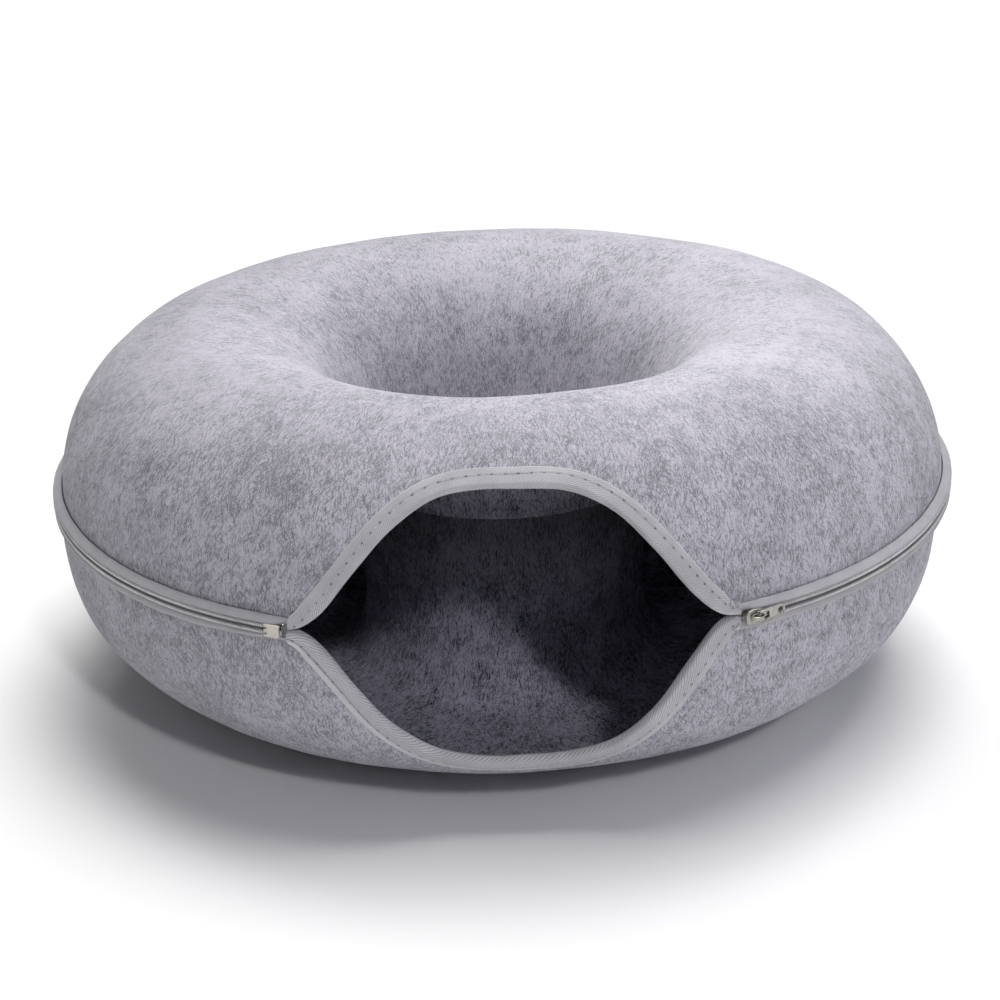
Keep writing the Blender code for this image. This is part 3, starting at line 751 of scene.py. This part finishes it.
def rounded_loop(points, times):
    """Corner cutting of closed sections (columns x points x 3)."""
    for _ in range(times):
        following = np.roll(points, -1, 1)
        points = np.stack([0.75 * points + 0.25 * following, 0.25 * points + 0.75 * following], 2)
        points = points.reshape(len(points), -1, 3)
    return points


def zip_band(name, turns, rings, finish, across=None, smooth_angle=None):
    """A closed band along the zip; across is measured round each ring where it isn't given."""
    if across is None:
        steps = np.linalg.norm(np.diff(rings, axis=1), axis=2)
        across = np.concatenate([np.zeros((len(turns), 1)), np.cumsum(steps, 1)], 1)
    along = np.radians(turns) * FELT_RADIUS
    return sweep(name, rings, across, np.append(along, along[-1]), False, (finish,),
                 smooth_angle=smooth_angle)


def zip_tape(name, profile, tape, finish):
    turns = np.linspace(TAPE_RIGHT_END - TAPE_TUCK, TAPE_LEFT_END + TAPE_TUCK, 650)
    near_left = np.clip(1 - (TAPE_LEFT_END - turns) / TAPE_SLANT_REACH, 0, 1)
    from_end = np.minimum(turns - turns[0], turns[-1] - turns)
    standing = 0.30 + 0.70 * smooth(0.0, 2.2, from_end)
    reach = tape["root"] * (1 - tape["narrowing"] * near_left)

    def soft(up, out):
        up = np.broadcast_to(up, turns.shape)
        out = 0.0006 + (out - 0.0006) * standing
        return zip_point(slanted(tape, turns, up), tape["side"] * up, out)

    def sewn(up, proud):
        return felt_point(profile, slanted(tape, turns, up), up, proud)

    section = [sewn(reach, CLEARANCE), sewn(reach, CLEARANCE + TAPE_THICKNESS)]
    section += [soft(share * reach, out) for share, out in TAPE_CREST]
    section += [soft(TAPE_LIP, out) for out in TAPE_LIP_FACES]
    section += [soft(share * reach, out) for share, out in TAPE_HOLLOW]
    rings = rounded_loop(np.stack(section, 1), 2)
    middle = zip_point(turns, 0.0, 0.004)[:, None]
    ripple = 1 + 0.012 * np.sin(turns * 0.9) + 0.010 * np.sin(turns * 2.3 + 1)
    rings = middle + (rings - middle) * ripple[:, None, None]
    return zip_band(name, turns, rings, finish)


def zip_tail(name, low, high, finish):
    """The end of the two tapes, pressed flat behind the stop box or the slider."""
    turns = np.linspace(low, high, 24)
    outline = []
    for side, out in ((1, 0.0021), (-1, 0.0011)):
        outline += [(side * up, out) for up in np.linspace(-0.0058, 0.0058, 14)]
    rings = np.stack([zip_point(turns, up, out) for up, out in outline], 1)
    across = np.broadcast_to([abs(up) for up, _ in outline], rings.shape[:2])
    return zip_band(name, turns, rings, finish, across, 50)


TOOTH_PITCH = 0.00125
TOOTH_PATH = ((0.00258, 0.00480, 0.00034), (0.00285, 0.00540, 0.00042), (0.00262, 0.00602, 0.00044),
              (0.00195, 0.00622, 0.00040), (0.00120, 0.00590, 0.00034), (0.00060, 0.00540, 0.00030),
              (0.00020, 0.00500, 0.00028))
TOOTH_SIDES = 5


def zip_teeth(name, side, finish):
    """One row of coils: each a bent bar from the tape's edge to the middle of the chain."""
    step = math.degrees(TOOTH_PITCH / FELT_RADIUS)
    turns = np.arange(CHAIN_START + step * (0.25 if side > 0 else 0.75), CHAIN_END, step)
    path = np.array(TOOTH_PATH)
    rings = []
    for i, (up, out, radius) in enumerate(path):
        before, after = path[max(i - 1, 0)], path[min(i + 1, len(path) - 1)]
        along_path = (after - before)[:2]
        along_path /= np.linalg.norm(along_path)
        normal = np.array([-along_path[1], along_path[0]])
        lean = step * 0.30 * (i / (len(path) - 1))
        ring = []
        for k in range(TOOTH_SIDES):
            angle = math.tau * k / TOOTH_SIDES + 0.3
            c, s = math.cos(angle) * radius, math.sin(angle) * radius
            ring.append(zip_point(turns + lean + math.degrees(c / FELT_RADIUS),
                                  side * (up + normal[0] * s), out + normal[1] * s))
        rings.append(np.stack(ring, 1))
    rings = np.stack(rings, 1)
    count, levels, sides = rings.shape[:3]
    ids = np.arange(rings[..., 0].size).reshape(count, levels, sides)
    turned = np.roll(ids, -1, 2)
    quads = np.stack([ids[:, :-1], turned[:, :-1], turned[:, 1:], ids[:, 1:]], -1).reshape(-1, 4)
    points = rings.reshape(-1, 3)
    flip = volume(points - points.mean(0), quads) < 0
    heights = np.broadcast_to(np.linspace(0, 1, levels)[None, :, None], ids.shape).ravel()
    if flip:
        quads = quads[:, ::-1]
    faces = quads.tolist()
    for level in (0, -1):
        caps = ids[:, level] if (level == 0) != flip else ids[:, level, ::-1]
        faces += caps[:, ::-1].tolist()
    item = add_mesh(name, points, faces, None, (finish,), smooth_angle=70)
    layer = item.data.attributes.new("inward", "FLOAT", "POINT")
    layer.data.foreach_set("value", heights.astype(np.float32))
    return item


def zip_cord(name, finish):
    """The cords under the coils, dark as painted shade for the chain's core."""
    turns = np.linspace(CHAIN_START, CHAIN_END, 520)
    outline = ((0.0026, 0.0036), (0.0028, 0.0046), (0.0020, 0.0052), (0.0007, 0.0050), (0.0, 0.0046),
               (-0.0007, 0.0050), (-0.0020, 0.0052), (-0.0028, 0.0046), (-0.0026, 0.0036))
    rings = rounded_loop(np.stack([zip_point(turns, up, out) for up, out in outline], 1), 1)
    return zip_band(name, turns, rings, finish)


# ---------------------------------------------------------------- hardware

def zip_matrix(turn):
    angle = math.radians(turn)
    along = Vector((math.cos(angle), math.sin(angle), 0.0))
    up = Vector((0.0, 0.0, 1.0))
    out = along.cross(up)
    place = Vector([float(v) for v in zip_point(turn, 0.0, 0.0)])
    return Matrix.Translation(place) @ Matrix((along, up, out)).transposed().to_4x4()


def mesh_of(item):
    """The final mesh of an object with modifiers or a curve, with its own transform."""
    graph = bpy.context.evaluated_depsgraph_get()
    mesh = bpy.data.meshes.new_from_object(item.evaluated_get(graph), depsgraph=graph)
    mesh.transform(item.matrix_world)
    return mesh


def mirrored(half):
    return [(a, -u) for a, u in half] + [(a, u) for a, u in reversed(half) if u > 0]


def plate(outlines, low, high, edge, matrix=Matrix.Identity(4)):
    """A flat plate with rounded edges, from one outline and the outlines of its holes."""
    curve = bpy.data.curves.new("plate", "CURVE")
    curve.dimensions = "2D"
    curve.fill_mode = "BOTH"
    curve.extrude = (high - low) / 2 - edge
    curve.bevel_depth = edge
    curve.bevel_resolution = 3
    curve.offset = -edge
    for outline in outlines:
        spline = curve.splines.new("POLY")
        spline.points.add(len(outline) - 1)
        for point, (a, u) in zip(spline.points, outline):
            point.co = (a, u, 0, 1)
        spline.use_cyclic_u = True
    item = bpy.data.objects.new("plate", curve)
    bpy.context.scene.collection.objects.link(item)
    item.matrix_world = matrix @ Matrix.Translation((0, 0, (low + high) / 2))
    bpy.context.view_layer.update()
    mesh = mesh_of(item)
    bpy.data.objects.remove(item)
    return mesh


def rounded_outline(length, width, radius, steps=6):
    points = []
    for corner in range(4):
        sign_x = 1 if corner in (0, 3) else -1
        sign_y = 1 if corner in (0, 1) else -1
        for i in range(steps + 1):
            angle = math.pi / 2 * (corner + i / steps)
            points.append((sign_x * (length / 2 - radius) + radius * math.cos(angle),
                           sign_y * (width / 2 - radius) + radius * math.sin(angle)))
    return points


def shifted(outline, along):
    return [(a + along, u) for a, u in outline]


def joined(name, meshes, matrix, finish, smooth_angle=35):
    """Meshes joined into one object."""
    points, faces, start = [], [], 0
    for mesh in meshes:
        points += [matrix @ v.co for v in mesh.vertices]
        faces += [[start + i for i in p.vertices] for p in mesh.polygons]
        start += len(mesh.vertices)
    return add_mesh(name, [tuple(p) for p in points], faces, None, (finish,), smooth_angle=smooth_angle)


def strip_loop(centre, half_length, foot, crest, width, thickness, steps=20):
    """A flat strip bent into a half ring along the zip, with rounded edges."""
    points, section = [], []
    sides = 12
    for k in range(sides):
        angle = math.tau * k / sides
        c, s = math.cos(angle), math.sin(angle)
        section.append((math.copysign(abs(c) ** 0.6, c) * width / 2,
                        math.copysign(abs(s) ** 0.6, s) * thickness / 2))
    for i in range(steps + 1):
        angle = math.pi * i / steps
        for across, thick in section:
            along = centre - (half_length - thickness / 2 + thick) * math.cos(angle)
            out = foot + (crest - foot - thickness / 2 + thick) * math.sin(angle)
            points.append((along, across, out))
    mesh = bpy.data.meshes.new("strip")
    mesh.from_pydata(points, [], tube_faces(0, steps + 1, sides))
    return mesh


# ---------------------------------------------------------------- making

LIGHT, GREY, DARK = (0.580, 0.560, 0.630), (0.40, 0.39, 0.435), (0.13, 0.13, 0.145)
felt_out = felt_finish("felt_outside", LIGHT, GREY, DARK, 0.20, 0.75)
# The inside felt's last value is the strength of its painted shade by the funnel's end
felt_in = felt_finish("felt_inside", (0.60, 0.59, 0.72), (0.34, 0.335, 0.41), (0.04, 0.04, 0.05),
                      0.1, 0.90, 0.75)
twill = twill_finish("binding_twill", (0.60, 0.59, 0.62), (0.27, 0.265, 0.285), (0.76, 0.75, 0.77))
tape_cloth = tape_finish("zip_tape_cloth", (0.43, 0.42, 0.445), (0.31, 0.305, 0.33),
                         0.0008, 0.0006, 0.00012)
# The cords' dark colour is painted shade for the chain's core
cord_cloth = tape_finish("zip_cord", (0.17, 0.17, 0.18), (0.10, 0.10, 0.11), 0.0008, 0.0006, 0.0001)
metal = plain_detail("zip_plated", (0.46, 0.44, 0.41), 0.27, 0.35, 1400.0, 0.00003, Metallic=1.0)
cream = plain_detail("stop_moulded", (0.72, 0.68, 0.60), 0.38, 0.12, 1800.0, 0.00005)
dark_metal = plain_detail("clamp_metal", (0.34, 0.34, 0.35), 0.18, 0.4, 2600.0, 0.00003, Metallic=1.0)

# The coils' second colour is painted shade for the chain's middle
coil = coil_finish("zip_coil_moulded", (0.76, 0.74, 0.76), (0.20, 0.20, 0.21), (0.30, 0.295, 0.31))

upper = felt_shell("felt_upper", UPPER, UPPER_LIP, 450, 100, 50, felt_out, felt_in)
lower = felt_shell("felt_lower", LOWER, LOWER_LIP, 450, 120, 60, felt_out, felt_in)
for shell, node in ((upper, "upper_shell"), (lower, "lower_shell")):
    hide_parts(node)
    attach(shell, "root")

# groove and strip set, along the tape, the depth of the seam's groove with its painted shade and the
# strength of the painted highlight on the strip beside the seam
TWILL_UPPER = {"angle": 27.0, "pitch": 0.00100, "relief": 0.00014, "seed": 5, "edge": 0.7,
               "seam": ((0.0, 0.03, 0.10, 0.2, 0.40), (0.0070, 0.0066, 0.0052, 0.0044, 0.0042)),
               "groove": ((0.0, 0.2, 0.4), (0.15, 0.25, 0.4)),
               "strip": ((0.0, 0.4), (0.15, 0.15)),
               "tacks": ((0.0010, 0.0085, 0.0004, 0.0036, 14),)}
TWILL_LOWER = {"angle": -25.0, "pitch": 0.00135, "relief": 0.00024, "seed": 9, "edge": 0.5,
               "seam": ((0.0, 0.40), (0.0042, 0.0042)),
               "groove": ((0.0, 0.06, 0.12, 0.4), (1.6, 1.1, 0.3, 0.3)),
               "strip": ((0.0, 0.10, 0.2, 0.4), (0.9, 0.8, 0.3, 0.15)),
               "tacks": ((0.0015, 0.0060, 0.0004, 0.0030, 8),)}
thread = plain_detail("seam_thread", (0.66, 0.65, 0.67), 0.7, 0.25, 2200.0, 0.00004)
for part, node, carrier, profile, lip, pattern in (
        ("upper", "binding_upper", upper, UPPER, UPPER_LIP, TWILL_UPPER),
        ("lower", "binding_lower", lower, LOWER, LOWER_LIP, TWILL_LOWER)):
    folded = Binding(profile, lip, pattern)
    tape = folded.skin("binding_tape_" + part, twill)
    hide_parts(node)
    for piece in (tape, folded.stitches("binding_thread_" + part, thread)):
        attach(piece, "root")

tape_upper = zip_tape("zip_cloth_upper", UPPER, UPPER_TAPE, tape_cloth)
tape_lower = zip_tape("zip_cloth_lower", LOWER, LOWER_TAPE, tape_cloth)
for tape, node, carrier, wide in ((tape_upper, "zip_tape_upper", upper, 0.0100),
                                  (tape_lower, "zip_tape_lower", lower, 0.0110)):
    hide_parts(node)
    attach(tape, "root")

for part, low, high in (("right", 26.9, 30.0), ("left", 331.6, 335.5)):
    tail = zip_tail("zip_cloth_end_" + part, low, high, tape_cloth)
    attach(tail, "root")

cord = zip_cord("zip_cord_strip", cord_cloth)
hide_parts("zip_chain")
for piece in (cord, zip_teeth("zip_teeth_upper", 1, coil), zip_teeth("zip_teeth_lower", -1, coil)):
    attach(piece, "root")

SLIDER_HALF = ((-0.0085, 0.0022), (-0.0075, 0.0040), (-0.0040, 0.0049), (0.0010, 0.0043),
               (0.0060, 0.0040), (0.0070, 0.0032))
NOSE_HALF = ((-0.0085, 0.0012), (-0.0045, 0.0018), (-0.0028, 0.0))
slider_parts = [
    plate([mirrored(SLIDER_HALF)], 0.0068, 0.0082, 0.00045),
    plate([mirrored([(a, u * 0.58) for a, u in SLIDER_HALF])], 0.0018, 0.0033, 0.0003),
    plate([mirrored(NOSE_HALF)], 0.0025, 0.0075, 0.0002),
    plate([mirrored([(a * 0.55 - 0.001, u * 0.42) for a, u in SLIDER_HALF])], 0.0078, 0.0089, 0.00035),
    strip_loop(-0.0014, 0.0046, 0.0078, 0.0122, 0.0024, 0.0008),
]
slider = joined("slider_body", slider_parts, zip_matrix(SLIDER_TURN), metal)
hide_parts("zip_slider")

pull_outline = rounded_outline(0.0200, 0.0076, 0.0022)
window = shifted(rounded_outline(0.0066, 0.0042, 0.0008), -0.0053)
hole_turns = [math.tau * k / 24 for k in range(24)]
hole = [(0.0066 + 0.0019 * math.cos(angle), 0.0019 * math.sin(angle)) for angle in hole_turns]
rim_inner = rounded_outline(0.0180, 0.0056, 0.0014)
pull_parts = [plate([pull_outline, window, hole], 0.0, 0.0011, 0.00035),
              plate([rounded_outline(0.0196, 0.0072, 0.0020), rim_inner], 0.0009, 0.0014, 0.0002)]
pull_place = (Matrix.Translation((0.0078, 0.0006, 0.0085)) @ Matrix.Rotation(math.radians(2.0), 4, "Z")
              @ Matrix.Rotation(math.radians(8.5), 4, "Y"))
pull = joined("slider_pull", pull_parts, zip_matrix(SLIDER_TURN) @ pull_place, metal)
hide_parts("zip_pull")

BOX_OUTLINE = ((-0.0046, -0.0036), (0.0044, -0.0036), (0.0050, -0.0030), (0.0050, 0.0030),
               (0.0044, 0.0036), (-0.0046, 0.0036), (-0.0046, 0.0023), (-0.0026, 0.0021),
               (-0.0026, 0.0012), (-0.0046, 0.0010), (-0.0046, -0.0010), (-0.0026, -0.0012),
               (-0.0026, -0.0021), (-0.0046, -0.0023))
box = joined("stop_box", [plate([BOX_OUTLINE], 0.0055, 0.0080, 0.0004)], zip_matrix(BOX_TURN), cream)
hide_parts("zip_stop_box")

across_zip = zip_matrix(CLAMP_TURN) @ Matrix.Rotation(math.pi / 2, 4, "Z")
clamp_strip = strip_loop(0.0, 0.0046, 0.0028, 0.0074, 0.0017, 0.0009, 28)
clamp = joined("end_clamp", [clamp_strip], across_zip, dark_metal, 60)
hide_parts("zip_end_clamp")
for piece, slot in ((slider, "zip_metal"), (pull, "zip_metal"), (clamp, "zip_metal"),
                    (box, "stop_plastic")):
    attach(piece, "root")


# ---------------------------------------------------------------- stage, light and camera

floor_finish = Finish("floor_pale", 0.9)
floor_finish.put("Base Color", (0.93, 0.93, 0.93, 1.0))
floor_finish.put("Specular IOR Level", 0.1)
FLOOR_REACH = 60
floor_corners = [(FLOOR_REACH * x, FLOOR_REACH * y, 0) for x, y in ((-1, -1), (1, -1), (1, 1), (-1, 1))]
floor = add_mesh("floor", floor_corners, [(0, 1, 2, 3)], None, (floor_finish.material,))

scene = bpy.context.scene
world = bpy.data.worlds.new("studio")
scene.world = world
world.use_nodes = True
tree = world.node_tree
background = tree.nodes["Background"]
background.inputs["Color"].default_value = (0.97, 0.98, 1.0, 1.0)
background.inputs["Strength"].default_value = 0.10


def from_side(azimuth, elevation):
    """The way toward a light; azimuth 0 is the front, 90 the right."""
    a, e = math.radians(azimuth), math.radians(elevation)
    return Vector((math.sin(a) * math.cos(e), -math.cos(a) * math.cos(e), math.sin(e)))


def add_light(name, kind, toward, energy, colour=(1.0, 1.0, 1.0)):
    light = bpy.data.lights.new(name, kind)
    light.energy = energy
    light.color = colour
    item = bpy.data.objects.new(name, light)
    scene.collection.objects.link(item)
    item.rotation_euler = toward.to_track_quat("Z", "Y").to_euler()
    return item


SUN_SOFTNESS = math.radians(40)
SPOT_DISTANCE = 1.6


def sun(name, azimuth, elevation, strength, colour=(1.0, 1.0, 1.0)):
    add_light(name, "SUN", from_side(azimuth, elevation), strength, colour).data.angle = SUN_SOFTNESS


def spot(name, aim, azimuth, elevation, power, colour, softness, cone):
    """A narrow light with a soft edge, aimed at one place on the object."""
    toward = from_side(azimuth, elevation)
    item = add_light(name, "SPOT", toward, power, colour)
    item.location = aim + toward * SPOT_DISTANCE
    item.data.shadow_soft_size = softness
    item.data.spot_size = math.radians(cone)
    item.data.spot_blend = 1.0


sun("light_top", 135, 73, 2.10)
sun("light_back", 180, 55, 1.42, (1.0, 0.98, 0.97))
sun("light_right", 80, 35, 0.20, (0.75, 0.80, 1.0))

spot("light_mouth", Vector((0.0, -0.215, 0.105)), 21, 39, 560.0, (0.97, 0.96, 1.0), 0.28, 5.6)
spot("light_funnel", Vector((0.104, 0.005, 0.200)), -80, 58, 400.0, (1.0, 1.0, 1.0), 0.2, 6.0)

CAMERA_AIM = Vector((-0.0018, -0.0086, 0.1047))
CAMERA_ELEVATION = math.radians(21.6)
CAMERA_DISTANCE = 1.544
CAMERA_ROLL = math.radians(-1.43)
SENSOR_WIDTH = 36.0
FOCAL_PIXELS, PHOTO_PIXELS = 2257.0, 1000.0
toward_camera = Vector((0.0, -math.cos(CAMERA_ELEVATION), math.sin(CAMERA_ELEVATION)))
camera_data = bpy.data.cameras.new("camera")
camera_data.sensor_width = SENSOR_WIDTH
camera_data.lens = FOCAL_PIXELS * SENSOR_WIDTH / PHOTO_PIXELS
camera_data.clip_end = 300.0
camera = bpy.data.objects.new("camera", camera_data)
scene.collection.objects.link(camera)
camera.matrix_world = (Matrix.Translation(CAMERA_AIM + toward_camera * CAMERA_DISTANCE)
                       @ toward_camera.to_track_quat("Z", "Y").to_matrix().to_4x4()
                       @ Matrix.Rotation(CAMERA_ROLL, 4, "Z"))
scene.camera = camera
scene.view_settings.view_transform = "Standard"
